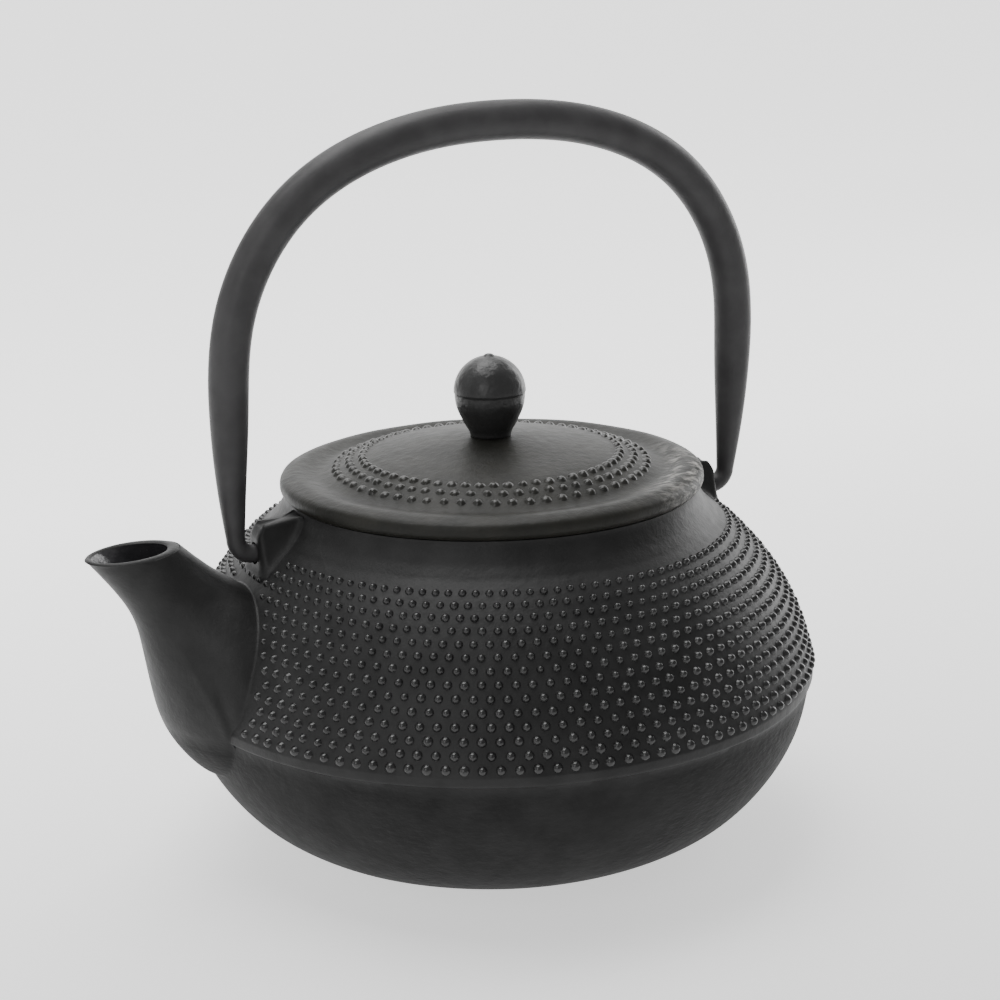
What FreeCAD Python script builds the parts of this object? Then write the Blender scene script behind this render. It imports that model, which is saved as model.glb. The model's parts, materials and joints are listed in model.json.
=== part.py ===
"""Cast iron teapot with a bail handle, a lift-off lid with a riveted knob, and a lift-out infuser.

Millimetres. +Z is up and the origin is the centre of the flat base that the pot stands on.
The spout and the bail handle lie in the XZ plane, with the spout on the -X side.
"""

import FreeCAD, Part
import math
import os

Vector = FreeCAD.Vector
UP = Vector(0, 0, 1)
CENTRE = Vector(0, 0, 0)

# Bowl
BOWL_R = 82.5          # greatest radius, the smooth band round the middle
BAND_LOW_Z = 43.2      # the band's lower edge, with a small step in to the lower bowl
BAND_HIGH_Z = 46.0     # the band's upper edge, where the hobnailed shoulder begins
BAND_STEP = 0.9        # how far the lower bowl sits behind the band
WALL = 3.2             # casting thickness
BASE_R = 34.0          # flat base
BASE_RISE = 0.9        # how far the base stands out below the bowl
FLOOR_T = 4.0          # thickness of the bowl's floor
RIDGE_R = 55.4         # soft ridge where the shoulder meets the collar
RIDGE_Z = 87.6
COLLAR_R = 53.0        # short upright collar that the lid covers
COLLAR_TOP = 93.1
LEDGE_Z = 90.3         # ledge inside the collar that carries the infuser's flange
LEDGE_R = 49.7
THROAT_R = 46.5        # mouth of the pot
THROAT_LOW_Z = 85.0

# Outlines of the bowl outside its band: (radius, height)
LOWER_BOWL = [(49.0, 3.5), (65.2, 11.5), (74.1, 21.5), (79.8, 33.5)]
SHOULDER = [(78.9, 57.5), (74.0, 67.5), (66.3, 77.5), (60.6, 83.0)]

# Spout sections from the root to the mouth: upper point, lower point (x, z), half width
SPOUT = [
    ((-62.0, 72.5), (-70.0, 31.0), 25.0),
    ((-67.8, 76.2), (-79.0, 29.5), 25.2),
    ((-71.5, 78.9), (-88.0, 39.3), 21.5),
    ((-75.3, 81.6), (-91.8, 50.5), 16.2),
    ((-78.7, 84.5), (-94.0, 63.5), 12.4),
    ((-81.1, 86.7), (-97.4, 75.0), 9.7),
    ((-83.7, 88.9), (-106.9, 88.9), 9.0),
]
SPOUT_CHANNEL = [
    ((-61.0, 62.0), (-66.0, 40.0), 12.5),
    ((-72.5, 68.5), (-81.0, 44.5), 13.0),
    ((-77.0, 76.5), (-88.0, 54.5), 11.0),
    ((-80.6, 81.0), (-90.6, 66.0), 8.9),
    ((-84.0, 84.9), (-95.0, 76.6), 7.5),
    ((-86.7, 88.9), (-105.2, 88.9), 7.4),
    ((-87.6, 90.9), (-107.4, 90.9), 7.5),
]

STEPS_PER_SECTION = 16

# Handle lugs
PIVOT_Z = 84.0         # the handle turns about the X-direction line at this height
LUG_TOP_W = 5.4        # width at the lug's top
LUG_DRAFT = 0.27       # how much each side spreads per millimetre downwards
LUG_EDGE_R = 1.2
LUG_OUTLINE = [(52.2, 92.4), (62.4, 91.2), (64.2, 89.4), (65.0, 75.0), (52.2, 75.0)]

# Bail handle
HANDLE_LEAN = 4.0      # degrees towards -Y, as the handle stands at rest
BAR_R = 4.9
HOOK_R = 2.3
HOOK_GAP = 0.35        # loose radial fit of a hook in its lug
HOOK_END_X = 60.5
HOOK_BEND_R = 4.3
LEG_X = 69.5
# Half of the handle's centre line above its hook bend: (x, height above the pivot)
HANDLE_HALF = [(70.0, 16.0), (70.1, 35.4), (67.9, 59.7), (52.6, 85.7), (26.8, 99.0)]
HANDLE_TOP = 102.1
TAPER_LOW = 4.3        # the legs taper from the full bar at TAPER_HIGH to the hook at TAPER_LOW
TAPER_HIGH = 46.0
SECTIONS_PER_HANDLE = 29

# Lid
LID_R = 54.2
LID_LOW_Z = 93.4
SKIRT_OUT_R = 44.2
SKIRT_IN_R = 41.7
SKIRT_LOW_Z = 84.9
LID_TOP = [(52.8, 97.7), (50.0, 98.2), (44.0, 97.7), (39.9, 98.9), (33.0, 101.3), (20.0, 103.9)]
LID_T = 3.4
CROWN_R = 5.5
CROWN_Z = 105.8
SEAT_R = 8.0           # flat boss under the crown that the washer faces
SEAT_Z = 102.0

# Knob, its rivet and washer
KNOB_R = 9.2
KNOB_Z = 117.3
NECK_FLARE = 40.0      # degrees below the ball's middle where its neck begins
NECK_R = 5.3
NECK_TOP_Z = 108.6
NIB_R = 1.3
NIB_TOP_Z = 127.1
RIVET_R = 2.5
RIVET_GAP = 0.08
RIVET_TOP_Z = 117.0
SEAT_GAP = 0.1
WASHER_R = 6.5
WASHER_T = 1.0
RIVET_HEAD_R = 4.4
RIVET_HEAD_H = 1.8

# Infuser
SHEET_T = 0.6
FLANGE_R = 49.2
INFUSER_R = 45.9       # outside of the rim's band and of the base ring
BAND_H = 10.9
MESH_OVERLAP = 5.0
WELD_GAP = 0.05
INFUSER_LOW_Z = 46.0
BASE_RING_H = 6.0
BASE_LIP_R = 38.0


def point(r, z):
    """A point of a turned outline, drawn in the XZ plane."""
    return Vector(r, 0, z)


def spline(points):
    """A smooth edge through the points."""
    curve = Part.BSplineCurve()
    curve.interpolate(points)
    return curve


def line(start, end):
    return Part.LineSegment(start, end)


def turned(curves):
    """The solid made by turning a closed outline once round the Z axis."""
    wire = Part.Wire([curve.toShape() for curve in curves])
    solid = Part.Face(wire).revolve(CENTRE, UP, 360)
    return solid if solid.ShapeType == "Solid" else Part.Solid(solid.Shells[0])


def turned_polygon(points):
    """The solid made by turning a closed polygon once round the Z axis."""
    corners = [point(r, z) for r, z in points]
    ends = corners[1:] + corners[:1]
    return turned([line(a, b) for a, b in zip(corners, ends)])


def offset_inwards(curve, distance, count):
    """Points at a set distance from a curve, on the side nearer the Z axis."""
    low, high = curve.FirstParameter, curve.LastParameter
    points = []
    for i in range(count):
        u = low + (high - low) * i / (count - 1)
        tangent = curve.tangent(u)[0]
        points.append(curve.value(u) + distance * Vector(-tangent.z, 0, tangent.x))
    return points


def section(upper, lower, half_width):
    """Points round an ellipse across the XZ plane, from its upper to its lower point and back."""
    top, bottom = point(*upper), point(*lower)
    middle, half_length = (top + bottom) / 2, (top - bottom) / 2
    points = []
    for i in range(STEPS_PER_SECTION + 1):
        turn = 2 * math.pi * i / STEPS_PER_SECTION
        points.append(middle + half_length * math.cos(turn) + Vector(0, half_width * math.sin(turn), 0))
    return points


def loft(sections):
    """The solid with a smooth side through all the sections and a flat face at each end."""
    surface = Part.BSplineSurface()
    surface.interpolate([section(*row) for row in sections])
    side = surface.toShape()
    ends = [Part.Face(Part.Wire([edge])) for edge in side.Edges if edge.isClosed()]
    shell = Part.makeShell([side] + ends)
    shell.sewShape()
    solid = Part.makeSolid(shell)
    if solid.Volume < 0:
        solid.reverse()
    return solid


def bowl_curves():
    """The two outer splines of the bowl, below and above its band."""
    lower = [point(BASE_R + 0.5, BASE_RISE)]
    lower += [point(r, z) for r, z in LOWER_BOWL]
    lower.append(point(BOWL_R - BAND_STEP, BAND_LOW_Z))
    upper = [point(BOWL_R, BAND_HIGH_Z)]
    upper += [point(r, z) for r, z in SHOULDER]
    upper.append(point(RIDGE_R, RIDGE_Z))
    return spline(lower), spline(upper)


def bowl_outside():
    lower, upper = bowl_curves()
    step_low, step_high = lower.EndPoint, point(BOWL_R, BAND_LOW_Z + 0.4)
    collar_low = point(COLLAR_R, RIDGE_Z + 1.2)
    collar_high = point(COLLAR_R, COLLAR_TOP - 0.5)
    top_edge = point(COLLAR_R - 0.5, COLLAR_TOP)
    top_axis, base_axis = point(0, COLLAR_TOP), point(0, 0)
    base_edge = point(BASE_R, 0)
    return turned([
        line(base_axis, base_edge),
        line(base_edge, lower.StartPoint),
        lower,
        line(step_low, step_high),
        line(step_high, upper.StartPoint),
        upper,
        line(upper.EndPoint, collar_low),
        line(collar_low, collar_high),
        line(collar_high, top_edge),
        line(top_edge, top_axis),
        line(top_axis, base_axis),
    ])


def bowl_inside():
    """The space inside the bowl, up through the throat and past the collar's top."""
    lower, upper = bowl_curves()
    side = offset_inwards(lower, WALL, 8)[1:-1]
    side += offset_inwards(upper, WALL, 8)[:-1]
    floor_edge = point(BASE_R, FLOOR_T)
    wall = spline([floor_edge] + side)
    corners = [
        wall.EndPoint,
        point(THROAT_R, THROAT_LOW_Z),
        point(THROAT_R, LEDGE_Z),
        point(LEDGE_R, LEDGE_Z),
        point(LEDGE_R, COLLAR_TOP + 1),
        point(0, COLLAR_TOP + 1),
        point(0, FLOOR_T),
        floor_edge,
    ]
    return turned([wall] + [line(a, b) for a, b in zip(corners[:-1], corners[1:])])


def lug_side(sign):
    """The outline of one sloping side of the lug."""
    top_z = LUG_OUTLINE[0][1]
    corners = [Vector(x, sign * (LUG_TOP_W / 2 + LUG_DRAFT * (top_z - z)), z) for x, z in LUG_OUTLINE]
    return Part.makePolygon(corners + corners[:1])


def lug():
    """The lug on the +X side: a radial plate, wider below, with rounded edges."""
    plate = Part.makeLoft([lug_side(-1), lug_side(1)], True, True)
    raised = [e for e in plate.Edges if e.CenterOfMass.z > PIVOT_Z - 7 and e.CenterOfMass.x > 54]
    return plate.makeFillet(LUG_EDGE_R, raised)


def lug_socket():
    """The hole that a hook turns in, open on the lug's outer face."""
    socket_end = HOOK_END_X - 0.5
    return Part.makeCylinder(HOOK_R + HOOK_GAP, 12, Vector(socket_end, 0, PIVOT_Z), Vector(1, 0, 0))


def opposite(shape):
    """The same shape turned half round the Z axis."""
    other = shape.copy()
    other.rotate(CENTRE, UP, 180)
    return other


def body_casting():
    """Bowl, collar, spout and both lugs, cast in one."""
    one_lug = lug()
    outside = bowl_outside().fuse([loft(SPOUT), one_lug, opposite(one_lug)])
    socket = lug_socket()
    return outside.cut([bowl_inside(), loft(SPOUT_CHANNEL), socket, opposite(socket)])


def bar_radius(height):
    """The handle's radius at a height above the pivot."""
    share = (height - TAPER_LOW) / (TAPER_HIGH - TAPER_LOW)
    share = min(max(share, 0.0), 1.0)
    ease = math.sin(share * math.pi / 2)
    return HOOK_R + (BAR_R - HOOK_R) * ease


def handle_arch():
    """The bar from one hook bend over the top to the other."""
    half = [(LEG_X, HOOK_BEND_R)] + HANDLE_HALF
    other_half = [(-x, height) for x, height in reversed(half)]
    points = [point(x, PIVOT_Z + h) for x, h in half + [(0.0, HANDLE_TOP)] + other_half]
    path = Part.BSplineCurve()
    path.interpolate(points, InitialTangent=UP, FinalTangent=-UP)
    length = path.length()
    rings = []
    for i in range(SECTIONS_PER_HANDLE):
        u = path.parameterAtDistance(length * i / (SECTIONS_PER_HANDLE - 1))
        centre, tangent = path.value(u), path.tangent(u)[0]
        circle = Part.Circle(centre, tangent, bar_radius(centre.z - PIVOT_Z))
        rings.append(Part.Wire([circle.toShape()]))
    return Part.makeLoft(rings, True)


def hook():
    """The bend below a leg and the pin that points in to the lug, on the +X side."""
    bend_axis = Vector(LEG_X - HOOK_BEND_R, 0, PIVOT_Z + HOOK_BEND_R)
    circle = Part.Circle(Vector(LEG_X, 0, PIVOT_Z + HOOK_BEND_R), UP, HOOK_R)
    disc = Part.Face(Part.Wire([circle.toShape()]))
    bend = disc.revolve(bend_axis, Vector(0, 1, 0), 90)
    pin_length = bend_axis.x - HOOK_END_X
    pin = Part.makeCylinder(HOOK_R, pin_length, Vector(HOOK_END_X, 0, PIVOT_Z), Vector(1, 0, 0))
    return bend.fuse(pin)


def bail_handle():
    one_hook = hook()
    handle = handle_arch().fuse([one_hook, opposite(one_hook)])
    handle.rotate(Vector(0, 0, PIVOT_Z), Vector(1, 0, 0), HANDLE_LEAN)
    return handle


def lid_casting():
    """The lid: a rounded rim, a shallow valley, a low crown, and a skirt that stands in the infuser."""
    edge = Part.Arc(point(LID_R - 0.6, LID_LOW_Z), point(LID_R, LID_LOW_Z + 2.4), point(*LID_TOP[0]))
    crown = spline([point(r, z) for r, z in LID_TOP] + [point(CROWN_R, CROWN_Z)])
    below = [(r, z - LID_T) for r, z in LID_TOP[4:]]
    hollow = spline([point(SKIRT_IN_R, 94.4)] + [point(r, z) for r, z in below]
                    + [point(SEAT_R, SEAT_Z)])
    hole_r = RIVET_R + RIVET_GAP
    corners = [crown.EndPoint, point(hole_r, CROWN_Z), point(hole_r, SEAT_Z), hollow.EndPoint]
    skirt = [hollow.StartPoint, point(SKIRT_IN_R, SKIRT_LOW_Z), point(SKIRT_OUT_R, SKIRT_LOW_Z),
             point(SKIRT_OUT_R, LID_LOW_Z), edge.StartPoint]
    seat_lines = [line(a, b) for a, b in zip(corners[:-1], corners[1:])]
    skirt_lines = [line(a, b) for a, b in zip(skirt[:-1], skirt[1:])]
    return turned([edge, crown] + seat_lines + [hollow] + skirt_lines)


def lid_knob():
    """A ball on a short neck, with a small nib on top and a blind hole for the rivet."""
    base_z = CROWN_Z + SEAT_GAP
    ball = Part.makeSphere(KNOB_R, Vector(0, 0, KNOB_Z))
    cone_top_r = KNOB_R * math.cos(math.radians(NECK_FLARE))
    cone_top_z = KNOB_Z - KNOB_R * math.sin(math.radians(NECK_FLARE))
    neck = turned_polygon([(0, base_z), (NECK_R, base_z), (NECK_R, NECK_TOP_Z),
                           (cone_top_r, cone_top_z), (0, cone_top_z)])
    nib = Part.makeCylinder(NIB_R, NIB_TOP_Z - KNOB_Z, Vector(0, 0, KNOB_Z))
    hole = Part.makeCylinder(RIVET_R, RIVET_TOP_Z - base_z, Vector(0, 0, base_z))
    return ball.fuse([neck, nib]).cut(hole)


def knob_rivet():
    """The steel pin pressed into the knob, through the lid, and peened below the washer."""
    head_z = SEAT_Z - SEAT_GAP - WASHER_T
    pin = Part.makeCylinder(RIVET_R, RIVET_TOP_Z - head_z, Vector(0, 0, head_z))
    head = Part.makeCone(RIVET_HEAD_R - 1.2, RIVET_HEAD_R, RIVET_HEAD_H, Vector(0, 0, head_z - RIVET_HEAD_H))
    return pin.fuse(head)


def rivet_washer():
    top_z = SEAT_Z - SEAT_GAP
    low_z = top_z - WASHER_T
    return turned_polygon([(RIVET_R, low_z), (WASHER_R, low_z), (WASHER_R, top_z), (RIVET_R, top_z)])


def infuser_rim():
    """Flat flange that lies on the ledge, with a plain band below it in the throat."""
    low_z, seat_z = LEDGE_Z + WELD_GAP - BAND_H + SHEET_T, LEDGE_Z + WELD_GAP
    top_z, inner_r = seat_z + SHEET_T, INFUSER_R - SHEET_T
    return turned_polygon([(inner_r, low_z), (INFUSER_R, low_z), (INFUSER_R, seat_z),
                           (FLANGE_R, seat_z), (FLANGE_R, top_z), (inner_r, top_z)])


def infuser_wall():
    """The perforated sheet rolled to a tube, between the rim's band and the base ring."""
    outer_r = INFUSER_R - SHEET_T - WELD_GAP
    low_z = INFUSER_LOW_Z + 2 * SHEET_T + 2 * WELD_GAP
    high_z = LEDGE_Z - BAND_H + SHEET_T + MESH_OVERLAP
    inner_r = outer_r - SHEET_T / 2
    return turned_polygon([(inner_r, low_z), (outer_r, low_z), (outer_r, high_z), (inner_r, high_z)])


def infuser_floor():
    """The perforated disc that closes the bottom of the infuser."""
    radius = INFUSER_R - SHEET_T - WELD_GAP
    return Part.makeCylinder(radius, SHEET_T, Vector(0, 0, INFUSER_LOW_Z + SHEET_T + WELD_GAP))


def infuser_base_ring():
    """The pressed ring that holds the wall and the floor together."""
    inner_r, lip_z = INFUSER_R - SHEET_T, INFUSER_LOW_Z + SHEET_T
    top_z = INFUSER_LOW_Z + BASE_RING_H
    return turned_polygon([(BASE_LIP_R, INFUSER_LOW_Z), (INFUSER_R, INFUSER_LOW_Z),
                           (INFUSER_R, top_z), (inner_r, top_z), (inner_r, lip_z), (BASE_LIP_R, lip_z)])


PARTS = [body_casting, bail_handle, lid_casting, lid_knob, knob_rivet, rivet_washer,
         infuser_rim, infuser_wall, infuser_floor, infuser_base_ring]


def main():
    os.makedirs("parts", exist_ok=True)
    for make in PARTS:
        shape = make()
        if not shape.isValid() or len(shape.Solids) != 1:
            raise RuntimeError(f"{make.__name__} is not one valid solid")
        shape.Solids[0].exportStep(f"parts/{make.__name__}.step")


main()
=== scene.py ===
import json
import math

import bmesh
import bpy
import numpy as np
from mathutils import Matrix, Vector, noise

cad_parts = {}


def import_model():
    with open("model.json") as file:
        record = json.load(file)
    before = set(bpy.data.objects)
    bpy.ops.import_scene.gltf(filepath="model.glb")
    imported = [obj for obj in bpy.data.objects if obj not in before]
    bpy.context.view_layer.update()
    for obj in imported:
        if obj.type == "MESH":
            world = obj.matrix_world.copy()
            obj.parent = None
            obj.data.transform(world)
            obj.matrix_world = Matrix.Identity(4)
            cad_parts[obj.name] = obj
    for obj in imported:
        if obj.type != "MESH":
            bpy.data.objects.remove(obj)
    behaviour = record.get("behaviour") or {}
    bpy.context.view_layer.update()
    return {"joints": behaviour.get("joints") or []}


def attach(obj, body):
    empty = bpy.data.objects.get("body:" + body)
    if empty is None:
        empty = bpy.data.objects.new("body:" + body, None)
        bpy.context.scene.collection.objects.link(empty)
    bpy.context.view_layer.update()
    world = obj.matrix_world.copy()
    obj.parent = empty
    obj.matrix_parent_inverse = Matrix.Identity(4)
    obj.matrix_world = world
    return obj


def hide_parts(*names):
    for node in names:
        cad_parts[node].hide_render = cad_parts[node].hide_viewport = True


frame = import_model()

# The looks of the cast iron teapot. Sizes are in millimetres, in the frame's axes, and MM turns
# them into the scene's metres: the spout points along -X, the camera stands on the -Y side.
MM = 0.001
PIVOT_Z = frame["joints"][0]["pos_m"][2] / MM


# ---------------------------------------------------------------- outlines

class Curve:
    """A natural cubic spline through points, over the length of its chords or over given knots."""

    def __init__(self, points, knots=None):
        self.p = np.array(points, float)
        self.t = arc_lengths(self.p) if knots is None else np.array(knots, float)
        n = len(self.p)
        h = np.diff(self.t)
        a = np.eye(n)
        b = np.zeros_like(self.p)
        for i in range(1, n - 1):
            a[i, i - 1:i + 2] = h[i - 1], 2 * (h[i - 1] + h[i]), h[i]
            b[i] = 6 * ((self.p[i + 1] - self.p[i]) / h[i] - (self.p[i] - self.p[i - 1]) / h[i - 1])
        self.m = np.linalg.solve(a, b)

    def __call__(self, t):
        t = np.asarray(t, float)
        i = np.clip(np.searchsorted(self.t, t, side="right") - 1, 0, len(self.t) - 2)
        h = (self.t[i + 1] - self.t[i])[..., None]
        a = ((self.t[i + 1] - t)[..., None]) / h
        b = 1 - a
        return (a * self.p[i] + b * self.p[i + 1]
                + ((a ** 3 - a) * self.m[i] + (b ** 3 - b) * self.m[i + 1]) * h ** 2 / 6)

    def even(self, count):
        """Points at even steps of the parameter."""
        return self(np.linspace(self.t[0], self.t[-1], count))


def unit(vectors):
    """The vectors, one in each row, at a length of 1."""
    return vectors / np.linalg.norm(vectors, axis=1)[:, None]


def arc(centre, radius, start, end, count):
    """Points of an arc in an outline's plane, angles in degrees from the r axis towards z."""
    turns = np.radians(np.linspace(start, end, count))
    return np.column_stack([centre[0] + radius * np.cos(turns), centre[1] + radius * np.sin(turns)])


def arc_lengths(points):
    """How far along a polyline each of its points lies."""
    return np.concatenate([[0.0], np.cumsum(np.linalg.norm(np.diff(points, axis=0), axis=1))])


def resample(points, step):
    """Points along a polyline at even steps of about the given length."""
    points = np.array(points, float)
    lengths = arc_lengths(points)
    stops = np.linspace(0, lengths[-1], max(2, round(lengths[-1] / step) + 1))
    return np.column_stack([np.interp(stops, lengths, column) for column in points.T])


def round_corners(points, radius, count=6):
    """The outline with every corner rounded, apart from its two ends."""
    points = [np.array(p, float) for p in points]
    out = [points[0]]
    for before, corner, after in zip(points[:-2], points[1:-1], points[2:]):
        a, b = before - corner, after - corner
        la, lb = np.linalg.norm(a), np.linalg.norm(b)
        reach = min(radius, la / 2.01, lb / 2.01)
        start, end = corner + a / la * reach, corner + b / lb * reach
        for s in np.linspace(0, 1, count):
            out.append((1 - s) ** 2 * start + 2 * s * (1 - s) * corner + s ** 2 * end)
    out.append(points[-1])
    return np.array(out)


# ---------------------------------------------------------------- meshes

class Skin:
    """Points and faces of one mesh, collected in millimetres."""

    def __init__(self):
        self.points = []
        self.faces = []
        self.slots = []

    def add(self, points):
        """Adds points and returns the number of the first."""
        start = len(self.points)
        self.points.extend(map(tuple, np.asarray(points, float).reshape(-1, 3)))
        return start

    def face(self, corners, slot=0):
        self.faces.append(tuple(corners))
        self.slots.append(slot)

    def grid(self, rows, slot=0, closed=True, flip=False, keep=None):
        """Quads between rows of points; closed joins each row's last point to its first.

        Returns the number of the first point.
        """
        rows = np.asarray(rows, float)
        n, m = rows.shape[:2]
        start = self.add(rows)
        for i in range(n - 1):
            for j in range(m if closed else m - 1):
                if keep is not None and not keep[i, j]:
                    continue
                k = (j + 1) % m
                low, high = start + i * m, start + (i + 1) * m
                quad = [low + j, low + k, high + k, high + j]
                self.face(quad[::-1] if flip else quad, slot)
        return start

    def fan(self, ring_start, count, tip, slot=0, flip=False):
        """Triangles from a ring of points to one point."""
        top = self.add([tip])
        for j in range(count):
            tri = [ring_start + j, ring_start + (j + 1) % count, top]
            self.face(tri[::-1] if flip else tri, slot)

    def make(self, name, materials, weld=0.0):
        """The scene's object of this mesh, smooth, with points closer than weld joined."""
        mesh = bpy.data.meshes.new(name)
        mesh.from_pydata([(x * MM, y * MM, z * MM) for x, y, z in self.points], [], self.faces)
        mesh.polygons.foreach_set("material_index", self.slots)
        mesh.polygons.foreach_set("use_smooth", [True] * len(self.faces))
        for material in materials:
            mesh.materials.append(material)
        if weld:
            shape = bmesh.new()
            shape.from_mesh(mesh)
            bmesh.ops.remove_doubles(shape, verts=shape.verts, dist=weld * MM)
            shape.to_mesh(mesh)
            shape.free()
        mesh.update()
        piece = bpy.data.objects.new(name, mesh)
        bpy.context.scene.collection.objects.link(piece)
        return piece


def turned_rows(outline, columns):
    """Rings of points made by turning an outline of (r, z) round the Z axis."""
    turns = np.linspace(0, 2 * np.pi, columns, endpoint=False)
    outline = np.asarray(outline, float)
    x = outline[:, 0, None] * np.cos(turns)
    y = outline[:, 0, None] * np.sin(turns)
    z = np.repeat(outline[:, 1, None], columns, axis=1)
    return np.stack([x, y, z], axis=-1)


def turned(skin, outline, columns):
    """Adds a turned outline, with its solid side on the left of its direction of travel."""
    outline = np.asarray(outline, float)
    start_axis, end_axis = outline[0, 0] < 1e-6, outline[-1, 0] < 1e-6
    inner = outline[1 if start_axis else 0: len(outline) - (1 if end_axis else 0)]
    first = skin.grid(turned_rows(inner, columns))
    if start_axis:
        skin.fan(first, columns, (0, 0, outline[0, 1]), flip=True)
    if end_axis:
        skin.fan(first + (len(inner) - 1) * columns, columns, (0, 0, outline[-1, 1]))


def sharpen(piece, degrees):
    """Marks edges over an angle as sharp."""
    piece.data.set_sharp_from_angle(angle=math.radians(degrees))


# ---------------------------------------------------------------- bowl

BAND_LOW_Z = 43.2
BAND_HIGH_Z = 46.0
BAND_R = 82.5
BASE_R = 34.0
COLLAR_R = 53.0
COLLAR_TOP = 93.1
COLLAR_TOP_IN_R = COLLAR_R - 1.5
LEDGE_Z = 90.3
LEDGE_R = 49.7
THROAT_R = 46.5
WALL = 3.2
FLOOR_T = 4.0
BOWL_COLUMNS = 384
INSIDE_COLUMNS = 192

LOWER = Curve([(BASE_R + 0.5, 0.9), (49.0, 3.5), (65.2, 11.5), (74.1, 21.5), (79.8, 33.5),
               (81.6, BAND_LOW_Z)])
UPPER = Curve([(82.3, BAND_HIGH_Z + 0.5), (78.9, 57.5), (74.0, 67.5), (66.3, 77.5), (60.6, 83.0),
               (57.9, 85.2)])
NECK = Curve([(57.9, 85.2), (56.7, 86.5), (55.2, 88.2), (54.1, 90.0), (53.3, 91.6),
              (COLLAR_R, 92.8)])


def bowl_outline():
    """The bowl outside, from the edge of its base up to the top of the collar."""
    band = round_corners([LOWER.p[-1], (BAND_R - 0.1, BAND_LOW_Z + 0.5), (BAND_R, BAND_HIGH_Z),
                          UPPER.p[0]], 0.6, 5)
    top = round_corners([NECK.p[-1], (COLLAR_R, COLLAR_TOP), (COLLAR_TOP_IN_R, COLLAR_TOP)], 0.3, 4)
    return np.vstack([resample(LOWER.even(80), 1.1), band[1:], resample(UPPER.even(80), 0.9)[1:],
                      NECK.even(16)[1:], top[1:]])


OUTSIDE = bowl_outline()


def outer_radius(z):
    """The bowl's outer radius at a height."""
    return np.interp(z, OUTSIDE[:-2, 1], OUTSIDE[:-2, 0])


def bowl_inside():
    """The bowl inside, from the middle of its floor up to the collar's top."""
    def offset(points):
        tangent = unit(np.gradient(points, axis=0))
        return points + WALL * np.column_stack([-tangent[:, 1], tangent[:, 0]])

    side = np.vstack([offset(LOWER.even(12))[2:], offset(UPPER.even(14))[1:-1]])
    wall = Curve(np.vstack([[(BASE_R, FLOOR_T)], side])).even(60)
    top = round_corners([wall[-1], (THROAT_R, 85.0), (THROAT_R, LEDGE_Z), (LEDGE_R, LEDGE_Z),
                         (LEDGE_R, COLLAR_TOP), (COLLAR_TOP_IN_R, COLLAR_TOP)], 0.4, 4)
    return np.vstack([[(0, FLOOR_T), (12, FLOOR_T), (24, FLOOR_T)], wall, top[1:]])


INSIDE = bowl_inside()


def inner_radius(z):
    """The bowl's inner radius at a height below the throat."""
    low = INSIDE[3:60]
    return np.interp(z, low[:, 1], low[:, 0])


# ---------------------------------------------------------------- spout

# Sections from the root to the mouth: top x, top z, bottom x, bottom z, half width
SPOUT = Curve([
    (-62.0, 72.5, -70.0, 31.0, 25.0),
    (-67.8, 76.2, -79.0, 29.5, 24.2),
    (-71.5, 78.9, -88.0, 39.3, 21.0),
    (-75.3, 81.6, -91.8, 50.5, 16.2),
    (-78.7, 84.5, -94.0, 63.5, 12.2),
    (-81.1, 86.7, -97.4, 75.0, 9.8),
    (-83.8, 89.3, -106.8, 88.3, 8.8),
], knots=range(7))
CHANNEL = Curve([
    (-61.0, 62.0, -66.0, 40.0, 12.5),
    (-72.5, 68.5, -81.0, 44.5, 13.0),
    (-77.0, 76.5, -88.0, 54.5, 11.0),
    (-80.6, 81.0, -90.6, 66.0, 8.9),
    (-84.0, 84.9, -95.0, 76.6, 7.4),
    (-86.8, 89.4, -105.3, 88.4, 7.1),
], knots=range(6))
SPOUT_COLUMNS = 144
SPOUT_ROWS = 72
CHANNEL_ROWS = 40
FILLET_ROWS = 9
SKIRT_SINK = 0.04
SIDE_VIEW_R = 78.0
MOUTH_DROP = 0.4


def tube_point(curve, turn, v):
    """A point on the tube through a curve's sections: turn 0 is its top line, pi its bottom."""
    row = curve(v)
    top = np.stack([row[..., 0], 0 * row[..., 0], row[..., 1]], -1)
    bottom = np.stack([row[..., 2], 0 * row[..., 0], row[..., 3]], -1)
    across = np.stack([0 * row[..., 4], row[..., 4], 0 * row[..., 4]], -1)
    cos, sin = np.cos(turn)[..., None], np.sin(turn)[..., None]
    return (top + bottom) / 2 + (top - bottom) / 2 * cos + across * sin


def crossing(curve, turn, radius_at):
    """The v at which a tube's line last leaves the turned surface of the given radius."""
    vs = np.linspace(0.0, curve.t[-1] * 0.75, 400)
    p = tube_point(curve, np.full_like(vs, turn), vs)
    out = np.hypot(p[:, 0], p[:, 1]) - radius_at(p[:, 2])
    inside = np.nonzero(out < 0)[0]
    k = inside[-1] if len(inside) else 0
    share = out[k] / (out[k] - out[k + 1])
    return vs[k] + share * (vs[k + 1] - vs[k])


def on_surface(p, radius_at):
    """The point of a turned surface at the same height and direction."""
    scale = radius_at(p[..., 2]) / np.hypot(p[..., 0], p[..., 1])
    return np.stack([p[..., 0] * scale, p[..., 1] * scale, p[..., 2]], -1)


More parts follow.
